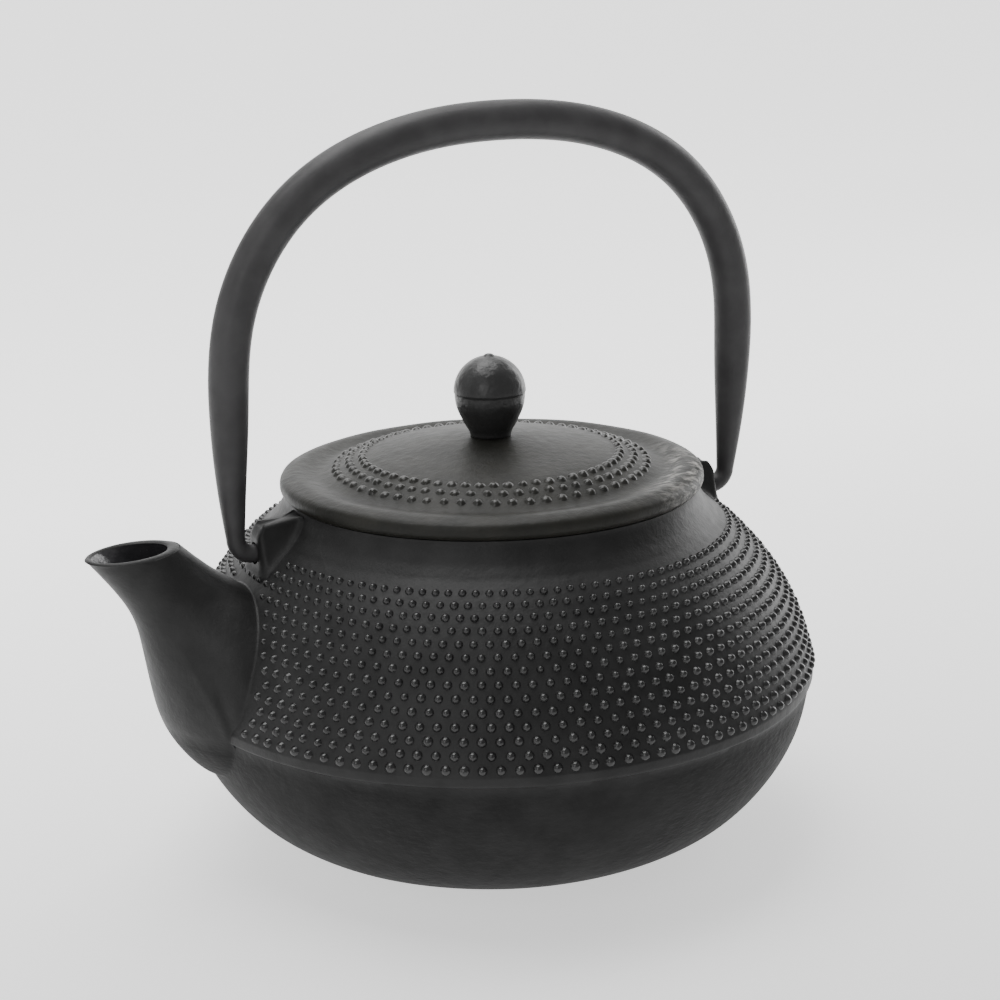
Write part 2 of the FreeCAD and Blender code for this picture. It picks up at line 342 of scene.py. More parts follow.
def joined_tube(curve, radius_at, reach_out, reach_up, sink, rows):
    """Rows of points of a tube that grows out of a turned surface with a rounded root.

    The root reaches out over the surface and up the tube from the crease where they meet, and
    its skirt lies just below the surface. Returns the rows, from skirt to mouth, and the crease.
    """
    turns = np.linspace(0, 2 * np.pi, SPOUT_COLUMNS, endpoint=False)
    starts = np.array([crossing(curve, turn, radius_at) for turn in turns])
    crease = tube_point(curve, turns, starts)
    along = np.roll(crease, -1, axis=0) - np.roll(crease, 1, axis=0)
    dz = 0.5
    slope = (radius_at(crease[:, 2] + dz) - radius_at(crease[:, 2] - dz)) / (2 * dz)
    normal = crease.copy()
    normal[:, 2] = -np.hypot(crease[:, 0], crease[:, 1]) * slope
    normal = unit(normal)
    away = unit(np.cross(along, normal))
    away *= np.sign(np.sum(away * (crease - crease.mean(axis=0)), axis=1))[:, None]
    skirt = on_surface(crease + away * reach_out, radius_at) - normal * sink
    ups = []
    for turn, start, foot in zip(turns, starts, crease):
        vs = np.linspace(start, start + 2.0, 200)
        far = np.linalg.norm(tube_point(curve, np.full_like(vs, turn), vs) - foot, axis=1)
        ups.append(np.interp(reach_up, far, vs))
    ups = np.array(ups)
    shoulder = tube_point(curve, turns, ups)
    out = []
    for s in np.linspace(0, 1, FILLET_ROWS)[:-1]:
        out.append((1 - s) ** 2 * skirt + 2 * s * (1 - s) * crease + s ** 2 * shoulder)
    for w in np.linspace(0, 1, rows):
        out.append(tube_point(curve, turns, ups + (curve.t[-1] - ups) * w))
    return np.array(out), crease


def in_polygon(points, corners):
    """Which 2D points lie in a closed polygon."""
    x, y = points[:, 0], points[:, 1]
    inside = np.zeros(len(points), bool)
    for (x1, y1), (x2, y2) in zip(corners, np.roll(corners, -1, axis=0)):
        cuts = (y1 > y) != (y2 > y)
        with np.errstate(divide="ignore", invalid="ignore"):
            inside ^= cuts & (x < (x2 - x1) * (y - y1) / (y2 - y1) + x1)
    return inside


def side_view(p):
    """A flat map of the bowl near the spout: arc from the spout's middle, and height."""
    angle = np.arctan2(p[..., 1], -p[..., 0])
    return np.stack([angle * SIDE_VIEW_R, p[..., 2]], -1)


def shrink(polygon, distance):
    """The polygon drawn in towards its middle."""
    middle = polygon.mean(axis=0)
    arms = polygon - middle
    length = np.linalg.norm(arms, axis=1)[:, None]
    return middle + arms * (length - distance) / length


SPOUT_OUTSIDE, SPOUT_CREASE = joined_tube(SPOUT, outer_radius, 0.6, 0.7, SKIRT_SINK, SPOUT_ROWS)
SPOUT_INSIDE, CHANNEL_CREASE = joined_tube(
    CHANNEL, inner_radius, 2.0, 2.0, -SKIRT_SINK, CHANNEL_ROWS)


def swell(p):
    """How far the gentle unevenness of the casting moves a point away from the axis."""
    return noise.noise(Vector(p) / 26.0 + Vector((3.0, 0, 0))) * 0.22


def ripple(points):
    """The points moved by the casting's gentle unevenness."""
    out = points.copy()
    for p in out.reshape(-1, 3):
        r = math.hypot(p[0], p[1])
        if r > 1:
            p[:2] *= 1 + swell(p) / r
    return out


def flank_line(p):
    """How far a raised casting line and a groove behind it move the spout's flanks outwards."""
    height = p[..., 2] - 41.1
    beside = p[..., 0] + 78.8 + 0.365 * height
    behind = beside - 0.18 * height
    ends = np.clip((height + 3) / 8, 0, 1) * np.clip((27 - height) / 12, 0, 1)
    lift = 0.4 * np.exp(-(beside / 1.0) ** 2) - 0.5 * np.exp(-(behind / 1.1) ** 2)
    return np.stack([0 * lift, np.sign(p[..., 1]) * lift * ends, 0 * lift], -1)


def mouth_rim(outer, inner):
    """Rows over the rounded lip, from the outer ring of the mouth to the inner one."""
    lift = np.array([0, 0, 1.0])
    gap = np.linalg.norm(outer - inner, axis=1)[:, None]
    rows = []
    for s in np.linspace(0, 1, 8)[1:-1]:
        bulge = math.sin(math.pi * s) ** 0.6
        rows.append(outer * (1 - s) + inner * s + lift * bulge * 0.3 * np.minimum(gap, 1.7))
    return rows


def within_root(rows, crease, margin):
    """Which points of a surface's rows, bar the last, lie inside a tube's crease by a margin."""
    flat = side_view(rows[:-1]).reshape(-1, 2)
    return in_polygon(flat, shrink(side_view(crease), margin)).reshape(len(rows) - 1, -1)


def pot_shell(skin):
    """The bowl's outside and base, and its enamelled inside, both open where the spout joins."""
    rows = turned_rows(OUTSIDE, BOWL_COLUMNS)
    base = round_corners([(0, 0), (BASE_R, 0), (BASE_R + 0.5, 0.9)], 0.3, 4)
    turned(skin, base, BOWL_COLUMNS)
    skin.grid(ripple(rows), keep=~within_root(rows, SPOUT_CREASE, 2.5))
    inner = turned_rows(INSIDE[1:], INSIDE_COLUMNS)
    hidden = within_root(inner, CHANNEL_CREASE, 1.5)
    hidden &= (inner[:-1, :, 2] > 30) & (inner[:-1, :, 2] < 75)
    first = skin.grid(inner, slot=1, flip=True, keep=~hidden)
    skin.fan(first, INSIDE_COLUMNS, (0, 0, FLOOR_T), slot=1)


def spout(skin):
    """The spout's outside, as uneven as the bowl at its root, then its lip and its channel."""
    outer = SPOUT_OUTSIDE.copy()
    channel = SPOUT_INSIDE.copy()
    near_root = np.clip(1.3 - np.arange(len(outer)) / 14, 0, 1)[:, None, None]
    outer += (ripple(outer) - outer) * near_root
    outer += flank_line(outer)
    outer[-1, :, 2] -= MOUTH_DROP
    channel[-1, :, 2] -= MOUTH_DROP
    rim = np.array([outer[-1]] + mouth_rim(outer[-1], channel[-1]) + [channel[-1]])
    skin.grid(outer, flip=True)
    skin.grid(rim, flip=True)
    skin.grid(channel[::-1], slot=1, flip=True)


# ---------------------------------------------------------------- lugs

LUG_IN_X = 51.6
LUG_OUT_X = 64.5
LUG_TOP_Z = 92.5
LUG_HALF_W = 2.7
LUG_DRAFT = 0.27
LUG_EDGE_R = 1.2
LUG_POINTS = 96
SOCKET_R = 2.65
SOCKET_END_X = 60.0
DRILL_END_X = 72.0
DRILL_SIDES = 32


def rounded_box(x0, x1, half_width, radius, count):
    """Points round a box with rounded corners, drawn in a level plane."""
    corners = [(x1 - radius, half_width - radius, 0), (x0 + radius, half_width - radius, 90),
               (x0 + radius, -half_width + radius, 180), (x1 - radius, -half_width + radius, 270)]
    ring = []
    for x, y, start in corners:
        ring.extend(arc((x, y), radius, start, start + 90, 7))
    ring = np.array(ring + ring[:1])
    lengths = arc_lengths(ring)
    stops = np.linspace(0, lengths[-1], count, endpoint=False)
    return np.column_stack([np.interp(stops, lengths, column) for column in ring.T])


def shoulder_height(r):
    """The height of the bowl's shoulder at a radius."""
    part = OUTSIDE[OUTSIDE[:, 1] > BAND_HIGH_Z][:-4]
    return np.interp(r, part[::-1, 0], part[::-1, 1])


def lug_ring(inset, share, rise):
    """A ring round the lug, at a share of the way from below the bowl's surface up to its edge."""
    ring = rounded_box(LUG_IN_X, LUG_OUT_X - inset, LUG_HALF_W - inset, 1.3 - 0.7 * inset,
                       LUG_POINTS)
    side = np.clip(ring[:, 1] / (LUG_HALF_W - inset), -1, 1)
    end = np.clip((ring[:, 0] - LUG_OUT_X + 2.0) / 2.0, 0, 1)
    surface = shoulder_height(np.hypot(ring[:, 0], 1.7 * ring[:, 1]))
    high = (LUG_TOP_Z - LUG_EDGE_R - 0.13 * np.maximum(ring[:, 0] - 54, 0)
            - 1.3 * np.maximum(ring[:, 0] - 62.8, 0))
    low = np.minimum(surface - 1.8, high - 0.4)
    z = low + (high - low) * share
    foot = np.exp(-np.maximum(z - surface, 0) / 1.1)
    ring[:, 1] += side * (LUG_DRAFT * (LUG_TOP_Z - z) + 1.5 * foot)
    ring[:, 0] += end * (0.03 * (LUG_TOP_Z - z) + 0.9 * foot)
    return np.column_stack([ring, z + rise])


def lug_mesh():
    """One lug on the +X side as a closed mesh, before its socket is drilled."""
    rows = [lug_ring(0.0, share, 0.0) for share in np.linspace(0, 1, 20)]
    for angle in np.radians(np.linspace(0, 90, 8)[1:]):
        rows.append(lug_ring(LUG_EDGE_R * (1 - math.cos(angle)), 1.0, LUG_EDGE_R * math.sin(angle)))
    rows = np.array(rows)
    skin = Skin()
    first = skin.grid(rows)
    skin.fan(first, LUG_POINTS, rows[0].mean(axis=0), flip=True)
    skin.fan(first + (len(rows) - 1) * LUG_POINTS, LUG_POINTS, rows[-1].mean(axis=0))
    return skin


def evaluated_mesh(piece):
    """A new mesh of the piece with its modifiers applied."""
    graph = bpy.context.evaluated_depsgraph_get()
    return bpy.data.meshes.new_from_object(piece.evaluated_get(graph))


def drilled(piece, drill):
    """The piece's mesh with the drill's mesh cut out of it; both objects are removed."""
    cut = piece.modifiers.new("cut", "BOOLEAN")
    cut.operation = "DIFFERENCE"
    cut.solver = "EXACT"
    cut.object = drill
    mesh = evaluated_mesh(piece)
    for old in (piece, drill):
        bpy.data.objects.remove(old)
    return mesh


def socket_drill():
    """The cutter for a lug's blind socket, which widens a little outwards."""
    skin = Skin()
    turns = np.linspace(0, 2 * np.pi, DRILL_SIDES, endpoint=False)
    steps = [(SOCKET_END_X, SOCKET_R), (64.0, SOCKET_R), (66.0, SOCKET_R + 0.3),
             (DRILL_END_X, SOCKET_R + 0.6)]
    rows = []
    for x, r in steps:
        y, z = r * np.cos(turns), PIVOT_Z + r * np.sin(turns)
        rows.append(np.column_stack([0 * turns + x, y, z]))
    first = skin.grid(rows)
    skin.fan(first, DRILL_SIDES, (SOCKET_END_X, 0, PIVOT_Z), flip=True)
    skin.fan(first + (len(steps) - 1) * DRILL_SIDES, DRILL_SIDES, (DRILL_END_X, 0, PIVOT_Z))
    return skin.make("socket_drill", [])


def lugs(skin):
    """Both drilled lugs: one, and the same turned half way round the Z axis."""
    mesh = drilled(lug_mesh().make("lug", []), socket_drill())
    points = np.array([v.co for v in mesh.vertices]) / MM
    faces = [tuple(p.vertices) for p in mesh.polygons]
    for sign in (1, -1):
        start = skin.add(points * np.array([sign, sign, 1]))
        for corners in faces:
            skin.face([start + c for c in corners])
    bpy.data.meshes.remove(mesh)


# ---------------------------------------------------------------- hobnails

ROWS_OF_NAILS = 14
NAILS_PER_ROW = 121
FIRST_NAIL_Z = 82.9
LAST_NAIL_Z = 47.6
NAIL_H = 0.95
NAIL_R_TOP = 1.0
NAIL_R_LOW = 1.28
NAIL_SIDES = 12
# Shares of a nail's radius and of its height, from its tip to just under the surface
NAIL_SHAPE = [(0.0, 1.0), (0.28, 0.95), (0.5, 0.81), (0.7, 0.56), (0.86, 0.27), (1.0, -0.02)]
DOME_SHAPE = [(0.0, 1.0), (0.28, 0.94), (0.52, 0.76), (0.72, 0.48), (0.88, 0.18), (1.0, -0.04)]
NAIL_CLEARANCE = 1.5
LUG_ROOT_Z = 79.0
LUG_ROOT_HALF_W = 9.4


def meridian():
    """The hobnailed part of the bowl's outline with its arc lengths."""
    part = resample(UPPER.even(200), 0.1)
    return part, arc_lengths(part)


def nail(skin, place, normal, radius, height, start_turn, shape):
    """One low round nail head standing on a surface."""
    side = np.cross(normal, (0, 0, 1.0))
    side /= np.linalg.norm(side)
    up = np.cross(side, normal)
    turns = np.linspace(0, 2 * np.pi, NAIL_SIDES, endpoint=False) + start_turn
    rows = []
    for share, lift in shape[:0:-1]:
        ring = (place + normal * lift * height
                + radius * share * (np.cos(turns)[:, None] * side + np.sin(turns)[:, None] * up))
        rows.append(ring)
    first = skin.grid(rows)
    skin.fan(first + (len(rows) - 1) * NAIL_SIDES, NAIL_SIDES, place + normal * height)


def hobnails(material):
    """Staggered rows of slightly uneven hobnails that leave the spout's and lugs' roots free."""
    rng = np.random.default_rng(11)
    outline, lengths = meridian()
    low = np.interp(LAST_NAIL_Z, outline[:, 1], lengths)
    high = np.interp(FIRST_NAIL_Z, outline[:, 1], lengths)
    tangent = np.gradient(outline, axis=0)
    root = side_view(SPOUT_CREASE)
    skin = Skin()
    for row in range(ROWS_OF_NAILS):
        share = row / (ROWS_OF_NAILS - 1)
        s = high + (low - high) * share
        r, z = (np.interp(s, lengths, outline[:, k]) for k in (0, 1))
        t = np.array([np.interp(s, lengths, tangent[:, k]) for k in (0, 1)])
        t /= np.linalg.norm(t)
        size = NAIL_R_TOP + (NAIL_R_LOW - NAIL_R_TOP) * share
        for k in range(NAILS_PER_ROW):
            angle = 2 * math.pi * (k + 0.5 * (row % 2)) / NAILS_PER_ROW
            angle += rng.normal(0, 0.0009)
            shift = rng.normal(0, 0.05)
            grow = 1 + rng.normal(0, 0.045)
            tall = 1 + rng.normal(0, 0.07)
            turn = rng.uniform(0, 0.5)
            place = np.array([r * math.cos(angle), r * math.sin(angle), z]) + shift * np.array(
                [t[0] * math.cos(angle), t[0] * math.sin(angle), t[1]])
            place[:2] *= 1 + swell(place) / r
            spot = side_view(place)
            to_root = np.linalg.norm(root - spot, axis=1).min()
            if to_root < NAIL_CLEARANCE or in_polygon(spot[None], root)[0]:
                continue
            if z > LUG_ROOT_Z and abs(place[1]) < LUG_ROOT_HALF_W:
                continue
            fade = min(1.0, 0.7 + 0.1 * (to_root - NAIL_CLEARANCE))
            normal = np.array([t[1] * math.cos(angle), t[1] * math.sin(angle), -t[0]])
            nail(skin, place, normal, size * grow * fade, NAIL_H * tall * fade, turn, NAIL_SHAPE)
    return skin.make("hobnails", [material])


# ---------------------------------------------------------------- lid

LID_COLUMNS = 256
LID_TOP = Curve([(52.9, 97.6), (50.0, 98.3), (44.0, 97.4), (39.9, 98.8), (33.0, 101.3),
                 (20.0, 103.9), (11.0, 105.3), (5.6, 105.8)])
RIVET_HOLE_R = 2.58
LID_DOT_RINGS = [(33.0, 0.0), (36.5, 0.5), (39.9, 0.0)]
DOTS_PER_RING = 60
LID_DOT_R = 1.32
LID_DOT_H = 0.75


def lid_outline():
    """The lid's section: its underside, its skirt, its edge, its top and the rivet's hole."""
    under = Curve([(8.0, 102.0), (20.0, 100.5), (33.0, 97.9), (41.5, 94.6)]).even(16)
    skirt = round_corners([under[-1], (41.7, 84.9), (44.2, 84.9), (44.2, 93.4), (53.4, 93.4)],
                          0.5, 4)
    edge = Curve([(53.4, 93.4), (54.05, 94.3), (54.2, 95.6), (53.9, 96.8), (52.9, 97.6)]).even(10)
    top = LID_TOP.even(90)
    hole = np.array([(5.2, 105.85), (RIVET_HOLE_R, 105.8), (RIVET_HOLE_R, 102.0), (8.0, 102.0)])
    return np.vstack([under, skirt[1:], edge[1:], top[1:], hole])


def lid(material):
    """The lid, with a top that is slightly uneven away from the knob."""
    skin = Skin()
    rows = turned_rows(lid_outline(), LID_COLUMNS)
    for p in rows.reshape(-1, 3):
        if math.hypot(p[0], p[1]) > 30 and p[2] > 96:
            p[2] += noise.noise(Vector((p[0] / 17, p[1] / 17, 5.0))) * 0.16
    skin.grid(rows)
    return skin.make("lid", [material])


def lid_dots(material):
    """Rings of low round dots on the lid's top."""
    rng = np.random.default_rng(5)
    skin = Skin()
    top = LID_TOP.even(400)
    order = np.argsort(top[:, 0])
    for radius, offset in LID_DOT_RINGS:
        z = np.interp(radius, top[order, 0], top[order, 1])
        dr = 0.5
        slope = (np.interp(radius + dr, top[order, 0], top[order, 1]) - z) / dr
        for k in range(DOTS_PER_RING):
            angle = 2 * math.pi * (k + offset) / DOTS_PER_RING + rng.normal(0, 0.003)
            r = radius + rng.normal(0, 0.06)
            place = np.array([r * math.cos(angle), r * math.sin(angle), z + (r - radius) * slope])
            normal = np.array([-slope * math.cos(angle), -slope * math.sin(angle), 1.0])
            normal /= np.linalg.norm(normal)
            size = LID_DOT_R * (1 + rng.normal(0, 0.05))
            tall = LID_DOT_H * (1 + rng.normal(0, 0.08))
            nail(skin, place, normal, size, tall, 0, DOME_SHAPE)
    return skin.make("lid_dots", [material])


# ---------------------------------------------------------------- knob

KNOB_R = 9.2
KNOB_Z = 117.3
KNOB_LOW_Z = 105.9


def knob_outline():
    """The knob from the middle of its foot to its nib, with a parting line at the ball's middle."""
    low = Curve([(5.2, KNOB_LOW_Z), (5.5, 107.1), (6.3, 108.5), (7.05, 109.9), (7.65, 111.2),
                 (8.25, 112.6), (8.8, 114.6), (9.0, 117.0)]).even(34)
    high = arc((0, KNOB_Z), KNOB_R, 0, 81, 44)
    ball_top = KNOB_Z + KNOB_R
    nib = [(1.2, ball_top + 0.2), (0.7, ball_top + 0.45), (0.0, ball_top + 0.5)]
    return np.vstack([[(0.0, KNOB_LOW_Z), (5.0, KNOB_LOW_Z)], low, high, nib])


def knob(material):
    skin = Skin()
    turned(skin, knob_outline(), 96)
    return skin.make("knob", [material])


# ---------------------------------------------------------------- rivet and washer

RIVET_R = 2.5
RIVET_HEAD_R = 4.4
RIVET_HEAD_Z = 100.9
WASHER_IN_R = 2.6
WASHER_R = 6.5
WASHER_LOW_Z = 101.0
WASHER_HIGH_Z = 101.85
STEEL_COLUMNS = 48


def rivet(material):
    """The shank, up to the knob's foot, and the flattened round head below it."""
    skin = Skin()
    centre_z = 101.2
    head = arc((0, centre_z), RIVET_HEAD_R, -90, -24, 10) * [1, 0.45] + [0, centre_z * 0.55]
    shank = [(RIVET_HEAD_R, RIVET_HEAD_Z), (RIVET_R, RIVET_HEAD_Z), (RIVET_R, KNOB_LOW_Z),
             (0, KNOB_LOW_Z)]
    turned(skin, np.vstack([head, shank]), STEEL_COLUMNS)
    return skin.make("rivet", [material])


def washer(material):
    skin = Skin()
    ring = round_corners([(WASHER_IN_R, WASHER_LOW_Z), (WASHER_R, WASHER_LOW_Z),
                          (WASHER_R, WASHER_HIGH_Z), (WASHER_IN_R, WASHER_HIGH_Z),
                          (WASHER_IN_R, WASHER_LOW_Z)], 0.25, 3)
    turned(skin, ring, STEEL_COLUMNS)
    return skin.make("washer", [material])


# ---------------------------------------------------------------- handle

BAR_COLUMNS = 40
BAR_R = 4.9
HOOK_R = 2.3
HOOK_END_X = 60.5
LEG_X = 69.5
HOOK_BEND_R = 4.3
HANDLE_LEAN = 4.0
TAPER_LOW = 4.3
TAPER_HIGH = 46.0
# Half of the arch, as (x, height above the pivot)
HANDLE_HALF = [(LEG_X, HOOK_BEND_R), (70.0, 16.0), (70.1, 35.4), (67.9, 59.7), (52.6, 85.7),
               (26.8, 99.0)]
HANDLE_TOP = 102.1


def bar_radius(height):
    """The bar's radius at a height above the pivot: it tapers down its legs to the hooks."""
    share = np.clip((height - TAPER_LOW) / (TAPER_HIGH - TAPER_LOW), 0, 1)
    return HOOK_R + (BAR_R - HOOK_R) * np.sin(share * math.pi / 2)


def handle_path():
    """The centre line, as (x, height above the pivot), from one hook's end to the other's."""
    other_half = [(-x, h) for x, h in HANDLE_HALF[::-1]]
    arch = Curve(HANDLE_HALF + [(0.0, HANDLE_TOP)] + other_half).even(140)
    centre = (LEG_X - HOOK_BEND_R, HOOK_BEND_R)
    bend = arc(centre, HOOK_BEND_R, -90, 0, 10)
    pin = resample([(HOOK_END_X, 0.0), (centre[0], 0.0)], 0.8)
    right = np.vstack([pin, bend[1:]])
    left = right[::-1] * [-1, 1]
    return np.vstack([right, arch[1:-1], left])


def handle(material):
    """The round bar along its centre line, leaning as it rests."""
    path = handle_path()
    tangent = unit(np.gradient(path, axis=0))
    turns = np.linspace(0, 2 * np.pi, BAR_COLUMNS, endpoint=False)
    across = np.array([0, 1.0, 0])
    rows = []
    for (x, h), t in zip(path, tangent):
        side = np.array([t[1], 0, -t[0]])
        around = np.cos(turns)[:, None] * side + np.sin(turns)[:, None] * across
        rows.append(np.array([x, 0, h]) + bar_radius(h) * around)
    lean = Matrix.Rotation(math.radians(HANDLE_LEAN), 3, "X")
    rows = np.array(rows) @ np.array(lean).T + [0, 0, PIVOT_Z]
    skin = Skin()
    first = skin.grid(rows, flip=True)
    skin.fan(first, BAR_COLUMNS, rows[0].mean(axis=0))
    skin.fan(first + (len(rows) - 1) * BAR_COLUMNS, BAR_COLUMNS, rows[-1].mean(axis=0), flip=True)
    return skin.make("handle", [material])


# ---------------------------------------------------------------- infuser

INFUSER_R = 45.9
SHEET_T = 0.6
FLANGE_R = 49.2
INFUSER_LOW_Z = 46.0
PUNCHED_LOW_Z = 51.0
PUNCHED_HIGH_Z = 82.2
PUNCHED_T = 0.3
HOLE_PITCH = 2.6
HOLE_R = 0.8
RIM_LOW_Z = 80.05
BASE_RING_IN_R = 38.0
BASE_RING_H = 6.0
INFUSER_COLUMNS = 192


def punched_cell(skin, corner_points, hole_points):
    """A cell of sheet with an eight-sided hole: eight edge points and eight hole points."""
    outer, inner = skin.add(corner_points), skin.add(hole_points)
    for k in range(8):
        n = (k + 1) % 8
        skin.face([outer + k, outer + n, inner + n, inner + k])


def punched_sheet(skin, place, columns, rows, width, height):
    """A sheet of punched cells, placed by a function of (column position, row position)."""
    edge = [(-1, -1), (0, -1), (1, -1), (1, 0), (1, 1), (0, 1), (-1, 1), (-1, 0)]
    for i in range(rows):
        for j in range(columns):
            cx, cy = (j + 0.5) * width, (i + 0.5) * height
            outer = [place(cx + a * width / 2, cy + b * height / 2) for a, b in edge]
            inner = [place(cx + HOLE_R * a / math.hypot(a, b), cy + HOLE_R * b / math.hypot(a, b))
                     for a, b in edge]
            punched_cell(skin, outer, inner)


def thicken(piece, thickness):
    """Gives a piece of sheet its thickness, on the inner side."""
    solid = piece.modifiers.new("thick", "SOLIDIFY")
    solid.thickness = thickness * MM
    solid.offset = -1
    mesh = evaluated_mesh(piece)
    piece.modifiers.clear()
    piece.data = mesh


def infuser_wall(material):
    """The punched sheet rolled to a tube, with a plain margin that its ring and its rim hold."""
    radius = INFUSER_R - SHEET_T - 0.05
    around, tall = 2 * math.pi * radius, PUNCHED_HIGH_Z - PUNCHED_LOW_Z
    columns, rows = round(around / HOLE_PITCH), round(tall / HOLE_PITCH)

    def place(x, y):
        return radius * math.cos(x / radius), radius * math.sin(x / radius), PUNCHED_LOW_Z + y

    skin = Skin()
    punched_sheet(skin, place, columns, rows, around / columns, tall / rows)
    skin.grid(turned_rows([(radius, 47.4), (radius, PUNCHED_LOW_Z)], 96))
    skin.grid(turned_rows([(radius, PUNCHED_HIGH_Z), (radius, 85.0)], 96))
    piece = skin.make("infuser_wall_sheet", [material], weld=0.01)
    thicken(piece, PUNCHED_T)
    return piece


def infuser_floor(material):
    """A disc punched in rings, with a plain middle and a plain edge."""
    z = INFUSER_LOW_Z + 2 * SHEET_T + 0.05
    skin = Skin()
    radius = 4.0
    skin.fan(skin.add(turned_rows([(radius, z)], 16)), 16, (0, 0, z))
    while radius + HOLE_PITCH < 43.5:
        middle = radius + HOLE_PITCH / 2
        columns = round(2 * math.pi * middle / HOLE_PITCH)
        step = 2 * math.pi / columns

        def place(x, y, inner=radius, middle=middle):
            r = inner + y
            return r * math.cos(x / middle), r * math.sin(x / middle), z

        punched_sheet(skin, place, columns, 1, step * middle, HOLE_PITCH)
        radius += HOLE_PITCH
    skin.grid(turned_rows([(radius, z), (INFUSER_R - SHEET_T - 0.1, z)], 128), flip=True)
    return skin.make("infuser_floor_sheet", [material], weld=0.01)


def infuser_rim(material):
    """The plain band at the infuser's top, with the flange that sits on the throat's ledge."""
    inner, seat, top = INFUSER_R - SHEET_T, LEDGE_Z + 0.05, LEDGE_Z + 0.05 + SHEET_T
    outline = round_corners([(inner, RIM_LOW_Z), (INFUSER_R, RIM_LOW_Z), (INFUSER_R, seat),
                             (FLANGE_R, seat), (FLANGE_R, top), (inner, top), (inner, RIM_LOW_Z)],
                            0.28, 4)
    skin = Skin()
    turned(skin, outline, INFUSER_COLUMNS)
    return skin.make("infuser_rim_ring", [material])


def infuser_base_ring(material):
    """The ring round the infuser's foot, turned in under its floor."""
    inner, low, top = INFUSER_R - SHEET_T, INFUSER_LOW_Z, INFUSER_LOW_Z + BASE_RING_H
    outline = round_corners([(BASE_RING_IN_R, low), (INFUSER_R, low), (INFUSER_R, top),
                             (inner, top), (inner, low + SHEET_T), (BASE_RING_IN_R, low + SHEET_T),
                             (BASE_RING_IN_R, low)], 0.28, 4)
    skin = Skin()
    turned(skin, outline, INFUSER_COLUMNS)
    return skin.make("infuser_base_band", [material])


# ---------------------------------------------------------------- materials

def grey(value):
    return value, value, value


def new_material(name, colour, roughness, metallic=0.0):
    """A material with its node tree and its shader."""
    material = bpy.data.materials.new(name)
    material.use_nodes = True
    shader = material.node_tree.nodes["Principled BSDF"]
    shader.inputs["Base Color"].default_value = (*colour, 1)
    shader.inputs["Roughness"].default_value = roughness
    shader.inputs["Metallic"].default_value = metallic
    return material, material.node_tree, shader


def node(tree, kind, **values):
    """A new node with the given inputs, or settings where it has no input of that name."""
    made = tree.nodes.new(kind)
    for key, value in values.items():
        if key in made.inputs:
            made.inputs[key].default_value = value
        else:
            setattr(made, key, value)
    return made


def object_noise(tree, per_mm, detail=4.0, stretch=(1, 1, 1)):
    """A noise texture in object space, with a given number of cells per millimetre."""
    place = tree.nodes.new("ShaderNodeTexCoord")
    scale = node(tree, "ShaderNodeMapping")
    scale.inputs["Scale"].default_value = [per_mm / MM * s for s in stretch]
    tree.links.new(place.outputs["Object"], scale.inputs["Vector"])
    texture = node(tree, "ShaderNodeTexNoise", Scale=1.0, Detail=detail)
    tree.links.new(scale.outputs["Vector"], texture.inputs["Vector"])
    return texture.outputs["Fac"]


def ramp(tree, value, stops):
    """A colour ramp over a value, through stops of (place, colour)."""
    made = tree.nodes.new("ShaderNodeValToRGB")
    points = made.color_ramp.elements
    while len(points) < len(stops):
        points.new(0.5)
    for point, (place, colour) in zip(points, stops):
        point.position = place
        point.color = (*colour, 1)
    tree.links.new(value, made.inputs["Fac"])
    return made.outputs["Color"]


def to_range(tree, value, low, high):
    """A value from 0 to 1 stretched to lie between low and high."""
    made = node(tree, "ShaderNodeMapRange")
    made.inputs["To Min"].default_value = low
    made.inputs["To Max"].default_value = high
    tree.links.new(value, made.inputs["Value"])
    return made.outputs["Result"]


def bump(tree, shader, height, distance_mm):
    """Adds a relief of the given depth to what the shader's normal already has."""
    made = node(tree, "ShaderNodeBump", Distance=distance_mm * MM, Strength=1.0)
    tree.links.new(height, made.inputs["Height"])
    if shader.inputs["Normal"].is_linked:
        tree.links.new(shader.inputs["Normal"].links[0].from_socket, made.inputs["Normal"])
    tree.links.new(made.outputs["Normal"], shader.inputs["Normal"])


def from_range(tree, value, start, end):
    """0 where a length is at one place in mm and 1 at another, even between them."""
    made = node(tree, "ShaderNodeMapRange")
    made.inputs["From Min"].default_value = start * MM
    made.inputs["From Max"].default_value = end * MM
    tree.links.new(value, made.inputs["Value"])
    return made.outputs["Result"]


def object_mask(tree, axis, start, end):
    """0 at one place in mm along an axis of the object and 1 at another, even between them."""
    place = tree.nodes.new("ShaderNodeTexCoord")
    split = tree.nodes.new("ShaderNodeSeparateXYZ")
    tree.links.new(place.outputs["Object"], split.inputs["Vector"])
    return from_range(tree, split.outputs[axis], start, end)


def ring_mask(tree, centre, start, end):
    """0 at one distance in mm from an upright line and 1 at another, even between them."""
    place = tree.nodes.new("ShaderNodeTexCoord")
    flat = node(tree, "ShaderNodeMapping")
    flat.inputs["Scale"].default_value = (1, 1, 0)
    tree.links.new(place.outputs["Object"], flat.inputs["Vector"])
    gap = node(tree, "ShaderNodeVectorMath", operation="DISTANCE")
    gap.inputs[1].default_value = (centre[0] * MM, centre[1] * MM, 0)
    tree.links.new(flat.outputs["Vector"], gap.inputs[0])
    return from_range(tree, gap.outputs["Value"], start, end)


def product(tree, first, *others):
    """Values multiplied together."""
    for other in others:
        made = node(tree, "ShaderNodeMath", operation="MULTIPLY")
        tree.links.new(first, made.inputs[0])
        tree.links.new(other, made.inputs[1])
        first = made.outputs["Value"]
    return first


# The Mix node's sockets for colours share their names with others, so they are taken by number
MIX_SHARE, MIX_FIRST, MIX_SECOND, MIX_RESULT = 0, 6, 7, 2


